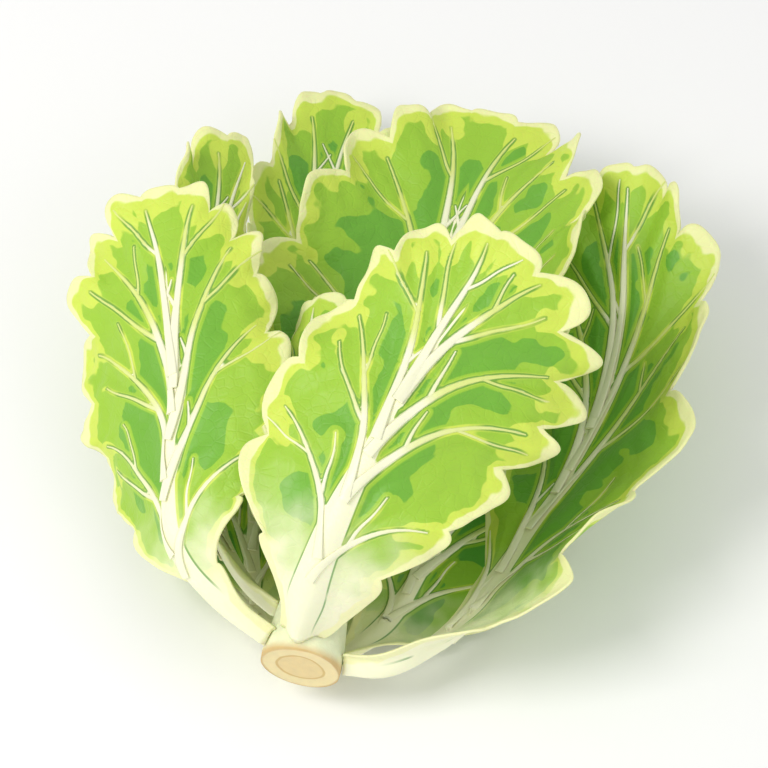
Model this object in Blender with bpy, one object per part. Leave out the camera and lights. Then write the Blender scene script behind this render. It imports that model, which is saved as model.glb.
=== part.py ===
"""A head of loose-leaf lettuce, cut at the root and lying on its back leaves.

The head is a short cone of stem with leaves set round it in tiers. Every leaf is one
solid: a thick rib that starts at the stem and a thin, lobed and waved blade.
Each leaf is drawn flat first, as a fan of lines that leave the rib and end at the
margin. It is then laid along the path of its rib, cupped across it and waved towards
the margin. The tables are in millimetres and degrees; the solids are in metres.
+Z is up, and the surface that the head lies on is z = 0.
"""

import math

import bmesh
import bpy
import numpy as np

MM = 0.001

# The head as a whole
AXIS_RISE = 14.0  # how far the head's axis rises from the surface, stem to tips
AXIS_TURN = 12.7  # how far the axis is turned from +Y towards +X
STEM_FOOT = (-35.2, -144.8, 30.0)  # centre of the cut face

# The stem
STEM_RADIUS = 16.5
STEM_LENGTH = 72.0
STEM_TOP_RADIUS = 4.5
STEM_TAPER = 1.6  # above 1 the stem narrows late
STEM_SIDES = 28
STEM_RINGS = 7
CUT_TILT = 7.0  # the knife's cut isn't quite square to the axis
JOINT_GAP = 0.6  # clear space between a leaf's foot and the stem

# The leaves' thickness
BLADE = 1.1
RIB_REACH = 1.5  # the rib's thickening fades out at this many half-widths
RIB_SWELL = 0.12  # the rib is broadest from this share of the leaf's length on
RIB_TAPER = 0.93  # share of its width that the rib loses by the tip
RIB_THINS = 0.86  # the rib's thickness has gone at this share of the leaf's length
FOOT_WING = 1.0  # thin blade beside the rib at the foot
PRESSED_RIB = 0.7  # shares of the thickness that are left where the leaf lies on something
PRESSED_BLADE = 0.8
SOFT_FLOOR = 3.0  # how gradually a leaf bends where it comes to lie on something

# How a leaf lies
CLASP = 40.0  # the foot's clasp of the stem opens over this length
TWIST_START = 0.25  # the leaf's twist comes in over this share of its length

# The leaves' outline
NECK_LENGTH = 0.36  # share of the leaf's length in which the blade widens from its neck
EGG_EVEN = 0.45  # keeps the widest part as wide as stated when it is moved
FOOT_START = 0.45  # share of the way from tip to foot where the foot's width comes in
LOBE_DRIFT = 0.08  # how much the lobes differ in spacing
LOBE_UNEVEN = 0.3  # how much they differ in height
NOTCH = 0.8  # below 1 the lobes are rounder and the notches between them narrower
MARGIN_FADE = 0.3  # lobes and waves fade over this last share of the way to the foot
BROAD_WAVE = 0.35  # share of the wave's height in one long wave round the leaf

# How finely a leaf is divided
RIB_RINGS = (0.0, 0.45, 1.0)  # rows of points across the rib, as shares of its reach
RINGS = (0.38, 0.72, 1.0)  # rows of points across the blade, as shares of its width
RIB_SHARE = 0.45  # where the leaf is narrow, the rib's rows take this share of its width
RIB_TOP = 0.8  # each line leaves the rib at this share of the height where it ends
CURVE_STEPS = 240
FULL_LOBES = 28.0  # lobes and waves grow to full size where a side is this wide

SHARP_ANGLE = 50

STEM_COLOUR = (0.86, 0.75, 0.46)
STEM_ROUGHNESS = 0.6
LEAF_ROUGHNESS = 0.45

# One entry for each leaf. Left and right are as seen from outside the head, tips up.
#   azimuth   where it leaves the stem: 0 faces up and to the front, + is to the right
#   path      the rib: height along the axis, distance from it, and sideways drift
#   width     the blade's reach to the left and to the right at its widest
#   egg       how far the widest part is moved towards the tip, on the left and right
#   neck      where the blade starts to widen on the left and right, as a share of the
#             leaf's length; below 0 it starts part-way out
#   foot      half the angle that the foot takes up round the stem
#   rib       the rib's thickness, and its half-width where it is broadest
#   twist     turn about its own rib, at the foot and at the tip
#   cup       radius of its cross-section on the left and on the right of the rib
#   lobes     lobes along each side, and how far they stand out
#   wave      how far the margin waves off the leaf's own surface
#   roll      how far the margin rolls outwards
#   floor     the lowest that the leaf may lie
#   colour    the blade's own green
LEAVES = {
    "bottom_leaf_centre": dict(
        azimuth=181,
        path=(
            (9, 17, 0), (13, 27, 0), (26, 38, 0), (60, 55, 0), (120, 70.5, 0),
            (165, 79, 0), (198, 86, 0),
        ),
        width=(46, 46), egg=(0.4, 0.4), neck=(-0.04, -0.04), foot=20, rib=(6.5, 6),
        twist=(0, 0), cup=(400, 400), lobes=(7, 5), wave=2.5, roll=0, phase=0.4, floor=0.0,
        colour=(0.36, 0.58, 0.11),
    ),
    "bottom_leaf_left": dict(
        azimuth=-135,
        path=(
            (12, 17, 0), (20, 29, 0), (30, 40, 0), (50, 48, 0), (85, 58, 0), (125, 68, 0),
            (155, 77, 0),
        ),
        width=(20, 36), egg=(0.1, 0.1), neck=(-0.04, 0.02), foot=17, rib=(6, 5.5),
        twist=(-26, -46), cup=(400, 300), lobes=(7, 5), wave=3, roll=0, phase=1.7, floor=7,
        colour=(0.35, 0.57, 0.11),
    ),
    "bottom_leaf_right": dict(
        azimuth=142,
        path=(
            (12, 17, 0), (21, 29, 0), (33, 42, 0), (60, 56, 0), (100, 73, 0),
            (135, 88, 0), (160, 99, 0),
        ),
        width=(44, 28), egg=(0.4, 0.4), neck=(-0.04, -0.04), foot=15, rib=(6, 5.5),
        twist=(26, 49), cup=(300, 400), lobes=(7, 5), wave=3, roll=0, phase=2.9, floor=9,
        colour=(0.35, 0.57, 0.12),
    ),
    "front_leaf": dict(
        azimuth=-5,
        path=(
            (11, 17, 0), (20, 34, 4), (44, 54, 13), (68, 64, 22), (95, 68, 31),
            (125, 71, 44), (147, 75, 56), (164, 78, 66),
        ),
        width=(48, 62), egg=(0.1, 0.75), neck=(0, -0.3), foot=30, rib=(7.5, 8.5),
        twist=(0, 0), cup=(110, 72), lobes=(8, 6), wave=4, roll=3, phase=0.2, floor=4,
        colour=(0.52, 0.74, 0.16),
    ),
    "front_left_leaf": dict(
        azimuth=-65,
        path=(
            (11, 17, 0), (18, 38, 0), (31, 59, 0), (64, 71, 0), (89, 75, 0),
            (125, 84, -7), (160, 94, -14), (184, 100, -18),
        ),
        width=(58, 44), egg=(0.05, 0.15), neck=(0.1, 0.02), foot=21, rib=(7, 7),
        twist=(0, 52), cup=(150, 54), lobes=(9, 5.5), wave=4, roll=1, phase=1.3, floor=4,
        colour=(0.55, 0.76, 0.18),
    ),
    "left_leaf": dict(
        azimuth=-108,
        path=(
            (26, 15, 0), (34, 28, 0), (52, 46, 0), (85, 65, 0), (125, 77, 0),
            (180, 82, 0), (236, 83, 0),
        ),
        width=(12, 36), egg=(0.5, 0.5), neck=(0.05, 0.05), foot=18, rib=(6, 6),
        twist=(-10, -38), cup=(60, 90), lobes=(8, 6), wave=5, roll=1, phase=0.9, floor=16,
        colour=(0.49, 0.71, 0.15),
    ),
    "right_leaf": dict(
        azimuth=97,
        path=(
            (8, 17, 0), (10, 31, 0), (22, 47, 0), (39, 60, 1), (58, 68, 3), (80, 76, 6),
            (105, 85.5, 10), (140, 93.8, 14), (185, 94.8, 16), (252, 81, 13),
        ),
        width=(49, 44), egg=(0, 0.9), neck=(-0.04, 0.12), foot=22, rib=(7, 7),
        twist=(40, 60), cup=(110, 200), lobes=(9, 6.5), wave=5, roll=1, phase=2.2, floor=10,
        colour=(0.42, 0.66, 0.14),
    ),
    "back_leaf_left": dict(
        azimuth=-167,
        path=(
            (31, 14, 0), (35, 23, 3), (56, 32, 9), (120, 46, 19), (200, 61, 28),
            (282, 75, 35),
        ),
        width=(34, 32), egg=(0.4, 0.4), neck=(0, 0), foot=18, rib=(5, 5), twist=(0, 0),
        cup=(90, 70), lobes=(8, 6), wave=3.5, roll=1, phase=0.7, floor=12,
        colour=(0.40, 0.64, 0.13),
    ),
    "back_leaf_right": dict(
        azimuth=160,
        path=(
            (42, 12, 0), (47, 20, 0), (65, 25, 0), (120, 29, -1), (180, 34, -2),
            (230, 40, -3), (276, 49, -4),
        ),
        width=(72, 73), egg=(0.1, -0.1), neck=(0, 0), foot=32, rib=(5.5, 5.5),
        twist=(8, 18), cup=(80, 90), lobes=(9, 6.5), wave=4, roll=1, phase=2.0, floor=14,
        colour=(0.50, 0.73, 0.16),
    ),
    "inner_leaf_front": dict(
        azimuth=-34,
        path=(
            (36, 13.5, 0), (42, 23, 0), (60, 31, 0), (90, 36, 0), (120, 36, 0),
            (150, 34, 0),
        ),
        width=(30, 30), egg=(0.3, 0.3), neck=(-0.04, -0.04), foot=30, rib=(5, 5),
        twist=(0, 0), cup=(40, 40), lobes=(6, 4.5), wave=3, roll=0, phase=0.6, floor=4,
        colour=(0.58, 0.76, 0.24),
    ),
    "inner_leaf_right": dict(
        azimuth=68,
        path=(
            (42, 11, 0), (49, 23, 0), (72, 37, 0), (110, 46, 0), (150, 50, 0),
            (172, 53, 0),
        ),
        width=(26, 16), egg=(0.3, 0.3), neck=(-0.04, -0.04), foot=32, rib=(5, 5),
        twist=(0, 0), cup=(46, 40), lobes=(6, 4.5), wave=3, roll=0, phase=1.9, floor=4,
        colour=(0.58, 0.76, 0.24),
    ),
    "inner_leaf_left": dict(
        azimuth=-108,
        path=(
            (48, 11, 0), (55, 18, 0), (78, 23, 0), (115, 26, 0), (150, 28, 0),
            (160, 29, 0),
        ),
        width=(16, 24), egg=(0.3, 0.3), neck=(-0.04, -0.04), foot=30, rib=(4.5, 4.5),
        twist=(0, 0), cup=(28, 28), lobes=(6, 4.5), wave=3, roll=0, phase=3.0, floor=4,
        colour=(0.58, 0.76, 0.24),
    ),
    "heart_leaf_front": dict(
        azimuth=14,
        path=(
            (58, 7, 0), (65, 14, 0), (88, 19, 0), (120, 22, 0), (146, 22, 0),
        ),
        width=(20, 20), egg=(0.3, 0.3), neck=(-0.04, -0.04), foot=36, rib=(4, 3.5),
        twist=(0, 0), cup=(22, 22), lobes=(6, 4), wave=2, roll=0, phase=0.3, floor=4,
        colour=(0.70, 0.82, 0.36),
    ),
    "heart_leaf_back": dict(
        azimuth=172,
        path=(
            (62, 7, 0), (69, 11, 0), (95, 13, 0), (130, 15, 0), (160, 17, 0),
        ),
        width=(20, 20), egg=(0.3, 0.3), neck=(-0.04, -0.04), foot=36, rib=(4, 3.5),
        twist=(0, 0), cup=(22, 22), lobes=(6, 4), wave=2, roll=0, phase=2.4, floor=4,
        colour=(0.70, 0.82, 0.36),
    ),
}


def ease(x):
    """Smooth step from 0 to 1."""
    x = np.clip(x, 0.0, 1.0)
    return x * x * (3.0 - 2.0 * x)


def spline(values, places, at):
    """Smooth curve through the rows of values, stated at these places."""
    values = np.asarray(values, float)
    places = np.asarray(places, float)
    k = np.clip(np.searchsorted(places, at, side="right") - 1, 0, len(places) - 2)
    step = (places[k + 1] - places[k])[:, None]
    share = (at[:, None] - places[k][:, None]) / step
    slopes = np.gradient(values, places, axis=0)
    over = np.maximum(share - 1.0, 0.0)
    share = np.minimum(share, 1.0)
    rise = share * share * (3.0 - 2.0 * share)
    return (
        values[k] * (1.0 - rise) + values[k + 1] * rise
        + step * slopes[k] * share * (1.0 - share) ** 2
        - step * slopes[k + 1] * share * share * (1.0 - share)
        + step * slopes[k + 1] * over
    )


def head_axes():
    """The head's axis and the two directions across it: towards the front, and to the right."""
    rise, turn = math.radians(AXIS_RISE), math.radians(AXIS_TURN)
    axis = np.array([
        math.sin(turn) * math.cos(rise), math.cos(turn) * math.cos(rise), math.sin(rise)
    ])
    right = np.array([math.cos(turn), -math.sin(turn), 0.0])
    front = np.cross(right, axis)
    return axis, front, right


def stem_radius(height):
    """The stem's radius at a height along its axis."""
    share = np.clip(np.asarray(height, float) / STEM_LENGTH, 0.0, 1.0)
    return STEM_RADIUS + (STEM_TOP_RADIUS - STEM_RADIUS) * share**STEM_TAPER


def unit(rows):
    return rows / np.linalg.norm(rows, axis=1)[:, None]


def rib_line(leaf):
    """The rib's centre line in space and the directions across the leaf along it."""
    axis, front, right = head_axes()
    azimuth = math.radians(leaf["azimuth"])
    outward = front * math.cos(azimuth) + right * math.sin(azimuth)
    sideways = right * math.cos(azimuth) - front * math.sin(azimuth)
    path = np.array(leaf["path"], float)
    path[0, 1] = stem_radius(path[0, 0]) + JOINT_GAP
    chord = np.concatenate([[0.0], np.cumsum(np.linalg.norm(np.diff(path, axis=0), axis=1))])
    stations = np.linspace(0.0, chord[-1] * 1.1, CURVE_STEPS)
    rows = spline(path, chord, stations)
    points = np.outer(rows[:, 0], axis) + np.outer(rows[:, 1], outward)
    points = points + np.outer(rows[:, 2], sideways) + np.array(STEM_FOOT)
    s = np.concatenate([[0.0], np.cumsum(np.linalg.norm(np.diff(points, axis=0), axis=1))])
    length = float(np.interp(chord[-1], stations, s))
    along = unit(np.gradient(points, s, axis=0))
    across = unit(sideways - along * (along @ sideways)[:, None])
    inward = np.cross(along, across)
    at = s / length
    twist = np.radians(leaf["twist"][0] + (leaf["twist"][1] - leaf["twist"][0]) * at)[:, None]
    twist = twist * ease(at / TWIST_START)[:, None]
    turned_across = across * np.cos(twist) + inward * np.sin(twist)
    turned_inward = inward * np.cos(twist) - across * np.sin(twist)
    # At the foot the blade clasps the stem, so its cross-section bends towards the axis.
    clasp = (1.0 - ease(s / CLASP))[:, None]
    wrap = unit(-outward * clasp + turned_inward * (1.0 - clasp))
    return {
        "s": s, "length": length, "points": points, "across": turned_across,
        "wrap": wrap, "inward": turned_inward, "clasp": clasp[:, 0],
    }


def sample(line, name, s):
    """One of the rib line's rows of values, at distances s along it."""
    rows = line[name]
    if rows.ndim == 1:
        return np.interp(s, line["s"], rows)
    return np.stack([np.interp(s, line["s"], rows[:, i]) for i in range(3)], axis=-1)


def foot_half_width(leaf):
    return math.radians(leaf["foot"]) * (stem_radius(leaf["path"][0][0]) + JOINT_GAP)


def rib_half_width(leaf, share):
    """Half the rib's width: narrow at the foot, broadest soon after it, then tapering."""
    foot = (foot_half_width(leaf) - FOOT_WING) / RIB_REACH
    broad = leaf["rib"][1]
    swell = foot + (broad - foot) * ease(share / RIB_SWELL)
    return swell * (1.0 - RIB_TAPER * np.clip(share, 0.0, 1.0)) ** 0.9


def thickness(leaf, x, share):
    """Blade thickness, swelling into the rib."""
    rib = (leaf["rib"][0] - BLADE) * (1.0 - np.clip(share / RIB_THINS, 0.0, 1.0)) ** 1.25
    off = np.clip(np.abs(x) / (RIB_REACH * rib_half_width(leaf, share)), 0.0, 1.0)
    return BLADE + rib * 0.5 * (1.0 + np.cos(math.pi * off))


def lobe_place(leaf, u):
    """Share of the way from tip to foot at u: the lobes are a little uneven in size."""
    t = np.abs(u)
    return t + LOBE_DRIFT * np.sin(2.6 * math.pi * t + leaf["phase"]) * t * (1.0 - t)


def margin_lobes(leaf, u):
    """How far the margin stands out at u, which runs from -1 to 1 round the leaf."""
    count, height = leaf["lobes"]
    turn = math.pi * count * u
    round_lobe = 2.0 * np.abs(np.cos(turn)) ** NOTCH - 1.0
    uneven = 1.0 + LOBE_UNEVEN * np.sin(5.1 * u + 2.0 * leaf["phase"])
    fade = ease((1.0 - np.abs(u)) / MARGIN_FADE)
    return height * round_lobe * uneven * fade


def margin_waves(leaf, u, b):
    """How far the blade stands off its own surface, towards its inner face."""
    count = leaf["lobes"][0]
    broad = np.sin(1.7 * math.pi * u + 3.0 * leaf["phase"])
    fade = ease((1.0 - np.abs(u)) / MARGIN_FADE)
    frill = np.sin(math.pi * count * u + leaf["phase"])
    wave = leaf["wave"] * (frill * b**2.2 + BROAD_WAVE * broad * b)
    return (wave - leaf["roll"] * b**4) * fade


def flat_leaf(leaf, length, u, ring):
    """A point of the flat leaf: x across it, s along it, and b, its share of the way out.

    u runs from -1 at the foot, round the tip at 0, to 1 at the foot. ring counts from the rib.
    The last value is below 1 where the leaf is narrow, and keeps lobes and waves small there.
    """
    side = np.where(u < 0, -1.0, 1.0)
    t = lobe_place(leaf, u)
    share = 0.25 * (1.0 + np.cos(math.pi * t)) + 0.5 * (1.0 - t * t)
    egg = np.where(u < 0, leaf["egg"][0], leaf["egg"][1])
    width = np.where(u < 0, leaf["width"][0], leaf["width"][1])
    round_end = 2.0 * np.sqrt(np.maximum(share * (1.0 - share), 0.0))
    broad = round_end * (1.0 + egg * (2.0 * share - 1.0)) / (1.0 + EGG_EVEN * egg * egg)
    bare = np.where(u < 0, leaf["neck"][0], leaf["neck"][1])
    broad = broad * ease((share - bare) / NECK_LENGTH)
    to_foot = ease((t - FOOT_START) / (1.0 - FOOT_START))
    margin_x = width * broad + foot_half_width(leaf) * to_foot
    margin_s = length * share
    rib_s = RIB_TOP * margin_s
    rib_edge = RIB_REACH * rib_half_width(leaf, rib_s / length)
    edge = np.minimum(rib_edge / np.maximum(margin_x, 1e-6), RIB_SHARE)
    if ring < len(RIB_RINGS):
        b = edge * RIB_RINGS[ring]
    else:
        b = edge + (1.0 - edge) * RINGS[ring - len(RIB_RINGS)]
    span = np.sqrt(margin_x**2 + (margin_s - rib_s) ** 2)
    calm = ease(margin_x / FULL_LOBES)
    reach = b + margin_lobes(leaf, u) * calm * b**4 / np.maximum(span, 1e-6)
    x = side * margin_x * reach
    s = rib_s + (margin_s - rib_s) * reach
    return x, s, b, calm


def soft_floor(z, low):
    """z, pressed up smoothly where it would lie lower than low."""
    over = (z - low) / SOFT_FLOOR
    bent = np.log1p(np.exp(np.minimum(over, 20)))
    return low + SOFT_FLOOR * np.where(over > 20, over, bent)


def place(leaf, line, u, x, s, b, calm):
    """The leaf's inner face in space."""
    points = sample(line, "points", s)
    across = sample(line, "across", s)
    wrap = sample(line, "wrap", s)
    inward = sample(line, "inward", s)
    clasp = sample(line, "clasp", s)
    left, right = leaf["cup"]
    open_curve = np.where(x < 0, 1.0 / left, 1.0 / right)
    foot_curve = 1.0 / (stem_radius(leaf["path"][0][0]) + JOINT_GAP)
    curve = open_curve * (1.0 - clasp) + foot_curve * clasp
    angle = curve * x
    spot = points + across * (np.sin(angle) / curve)[:, None]
    spot = spot + wrap * ((1.0 - np.cos(angle)) / curve)[:, None]
    normal = inward * np.cos(angle)[:, None] - across * np.sin(angle)[:, None]
    spot = spot + normal * (calm * margin_waves(leaf, u, b))[:, None]
    share = s / line["length"]
    rib_only = thickness(leaf, x, share) - BLADE
    low = leaf["floor"] + PRESSED_BLADE * BLADE + PRESSED_RIB * rib_only
    spot[:, 2] = soft_floor(spot[:, 2], low)
    return spot


def leaf_grid(leaf):
    """The leaf's inner face: points, thicknesses, triangles, and which points are at the foot."""
    line = rib_line(leaf)
    length = line["length"]
    last = len(RIB_RINGS) + len(RINGS) - 1
    steps = 2 * leaf["lobes"][0]
    coarse = np.linspace(0.0, 1.0, steps + 1)
    fine = np.linspace(0.0, 1.0, 2 * steps + 1)
    spots, thick, at_foot, rows = [], [], [], []
    for ring in range(last + 1):
        shares = fine if ring == last else coarse
        u = shares if ring == 0 else np.concatenate([-shares[:0:-1], shares])
        x, s, b, calm = flat_leaf(leaf, length, u, ring)
        rows.append(list(range(len(spots), len(spots) + len(u))))
        surface = place(leaf, line, u, x, s, b, calm)
        if ring == last:
            chord = 0.5 * (surface[:-2:2] + surface[2::2])
            wide = calm[1::2, None]
            surface[1::2] = surface[1::2] * wide + chord * (1.0 - wide)
        spots.extend(surface)
        thick.extend(thickness(leaf, x, s / length))
        at_foot.extend(np.abs(u) > 0.999)
    rows[0] = rows[0][:0:-1] + rows[0]
    triangles = []
    for ring in range(last):
        low, high = rows[ring], rows[ring + 1]
        for k in range(len(low) - 1):
            if ring == last - 1:
                p, q, r = high[2 * k], high[2 * k + 1], high[2 * k + 2]
                triangles += [(low[k], p, q), (low[k], q, low[k + 1]), (low[k + 1], q, r)]
            elif 2 * k < len(low) - 1:
                triangles += [
                    (low[k], high[k], low[k + 1]), (high[k], high[k + 1], low[k + 1])
                ]
            else:
                triangles += [
                    (low[k], high[k], high[k + 1]), (low[k], high[k + 1], low[k + 1])
                ]
    triangles = [t for t in triangles if len(set(t)) == 3]
    return np.array(spots), np.array(thick), triangles, np.array(at_foot)


def to_stem(spots, at_foot):
    """Moves the foot to the stem's surface, and keeps the rest clear of the stem."""
    axis = head_axes()[0]
    rel = spots - np.array(STEM_FOOT)
    height = rel @ axis
    radial = rel - np.outer(height, axis)
    size = np.maximum(np.linalg.norm(radial, axis=1), 1e-6)
    clear = stem_radius(height) + JOINT_GAP
    inside = (size < clear) & (height < STEM_LENGTH + 2.0)
    shift = np.where(at_foot | inside, clear - size, 0.0)
    spots += radial * (shift / size)[:, None]


def leaf_object(name, leaf, material):
    """One leaf as a closed solid."""
    spots, thick, triangles, at_foot = leaf_grid(leaf)
    sheet = bmesh.new()
    inner = [sheet.verts.new(p) for p in spots]
    for triangle in triangles:
        sheet.faces.new([inner[i] for i in triangle])
    sheet.normal_update()
    normals = np.array([v.normal[:] for v in sheet.verts])
    outer_spots = spots - normals * thick[:, None]
    outer_spots[:, 2] = np.maximum(outer_spots[:, 2], leaf["floor"])
    to_stem(spots, at_foot)
    to_stem(outer_spots, at_foot)
    for vert, spot in zip(inner, spots):
        vert.co = spot
    outer = [sheet.verts.new(p) for p in outer_spots]
    rim = [e for e in sheet.edges if e.is_boundary]
    pairs = [(e.verts[0], e.verts[1]) for e in rim]
    number = {v: i for i, v in enumerate(inner)}
    for triangle in triangles:
        sheet.faces.new([outer[i] for i in reversed(triangle)])
    for first, second in pairs:
        i, j = number[first], number[second]
        sheet.faces.new([inner[i], inner[j], outer[j]])
        sheet.faces.new([inner[i], outer[j], outer[i]])
    for vert in sheet.verts:
        vert.co = vert.co * MM
    bmesh.ops.recalc_face_normals(sheet, faces=sheet.faces)
    mesh = bpy.data.meshes.new(name)
    sheet.to_mesh(mesh)
    sheet.free()
    mesh.materials.append(material)
    mesh.shade_smooth()
    mesh.set_sharp_from_angle(angle=math.radians(SHARP_ANGLE))
    solid = bpy.data.objects.new(name, mesh)
    bpy.context.scene.collection.objects.link(solid)
    return solid


def make_material(name, colour, roughness):
    """A plain finish with the colour seen in the picture."""
    material = bpy.data.materials.new(name)
    material.use_nodes = True
    shader = material.node_tree.nodes["Principled BSDF"]
    shader.inputs["Base Color"].default_value = (*colour, 1.0)
    shader.inputs["Roughness"].default_value = roughness
    shader.inputs["Metallic"].default_value = 0.0
    material.diffuse_color = (*colour, 1.0)
    return material


def stem_object():
    """The cut stem: a short cone inside the head, with a nearly square cut."""
    axis, front, right = head_axes()
    sheet = bmesh.new()
    rows = []
    for k in range(STEM_RINGS + 1):
        height = STEM_LENGTH * k / STEM_RINGS
        radius = float(stem_radius(height))
        row = []
        for j in range(STEM_SIDES):
            angle = 2 * math.pi * j / STEM_SIDES
            offset = front * math.cos(angle) + right * math.sin(angle)
            lift = height
            if k == 0:
                lift = radius * math.cos(angle) * math.tan(math.radians(CUT_TILT))
            spot = (np.array(STEM_FOOT) + axis * lift + offset * radius) * MM
            row.append(sheet.verts.new(spot))
        rows.append(row)
    for low, high in zip(rows, rows[1:]):
        for j in range(STEM_SIDES):
            m = (j + 1) % STEM_SIDES
            sheet.faces.new([low[j], low[m], high[m], high[j]])
    sheet.faces.new(rows[0])
    sheet.faces.new(rows[-1])
    bmesh.ops.recalc_face_normals(sheet, faces=sheet.faces)
    mesh = bpy.data.meshes.new("stem")
    sheet.to_mesh(mesh)
    sheet.free()
    mesh.materials.append(make_material("stem", STEM_COLOUR, STEM_ROUGHNESS))
    solid = bpy.data.objects.new("stem", mesh)
    bpy.context.scene.collection.objects.link(solid)
    return solid


def main():
    for obj in list(bpy.data.objects):
        bpy.data.objects.remove(obj)
    stem_object()
    for name, leaf in LEAVES.items():
        leaf_object(name, leaf, make_material(name, leaf["colour"], LEAF_ROUGHNESS))


main()
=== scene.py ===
import bpy, math
import numpy as np
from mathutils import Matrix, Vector
from mathutils.bvhtree import BVHTree
from mathutils.kdtree import KDTree


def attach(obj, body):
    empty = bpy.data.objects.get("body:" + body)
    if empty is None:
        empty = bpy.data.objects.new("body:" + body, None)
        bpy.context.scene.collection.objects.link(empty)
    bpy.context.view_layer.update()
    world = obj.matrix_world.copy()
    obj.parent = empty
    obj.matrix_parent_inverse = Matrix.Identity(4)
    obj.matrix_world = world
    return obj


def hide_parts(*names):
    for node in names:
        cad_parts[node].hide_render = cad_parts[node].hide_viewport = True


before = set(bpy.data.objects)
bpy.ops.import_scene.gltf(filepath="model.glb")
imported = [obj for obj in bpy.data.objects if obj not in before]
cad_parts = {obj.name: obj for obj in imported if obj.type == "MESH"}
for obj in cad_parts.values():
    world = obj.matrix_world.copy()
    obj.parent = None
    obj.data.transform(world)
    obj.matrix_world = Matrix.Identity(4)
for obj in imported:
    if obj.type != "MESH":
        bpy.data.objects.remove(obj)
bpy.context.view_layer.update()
print("frame loaded:", len(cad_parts), "nodes")

mm = 0.001

# the head as the frame holds it: its axis rises from the cut stem to the tips
head = {
    "rise": 14.0,          # degrees above the floor
    "turn": 12.7,          # degrees from +Y towards +X
    "stemRadius": 16.5,    # millimetres, as all sizes in this file
    "stemTopRadius": 4.5,
    "stemLength": 72.0,
    "cutTilt": 7.0,
    "jointGap": 0.6,
}

# what all the leaves share
leafMake = {
    "blade": 1.1,          # thickness
    "ribReach": 1.5,
    "footWing": 1.0,
    "pressedRib": 0.7,
    "pressedBlade": 0.8,
    "ribTop": 0.8,
    "fullLobes": 28.0,
    "columnsPerLobe": 20,
    "rings": 46,
    "hiddenRings": 28,     # on the leaves that have their own columns
    "swellFrom": 30.0,     # the blade is plain up to here from its foot
    "swellOver": 40.0,
    "rimRound": 0.35,
    "pillow": 1.5,         # how far the blade swells between its veins
    "pillowReach": 5.5,
    "crinkle": 0.7,
    "ripple": 0.8,         # small uneven bumps of the margin's outline
    "curl": 1.7,           # small waves of the margin, on top of the broad ones
    "shoulder": 0.35,      # how far the blade rises towards a vein
}

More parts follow.
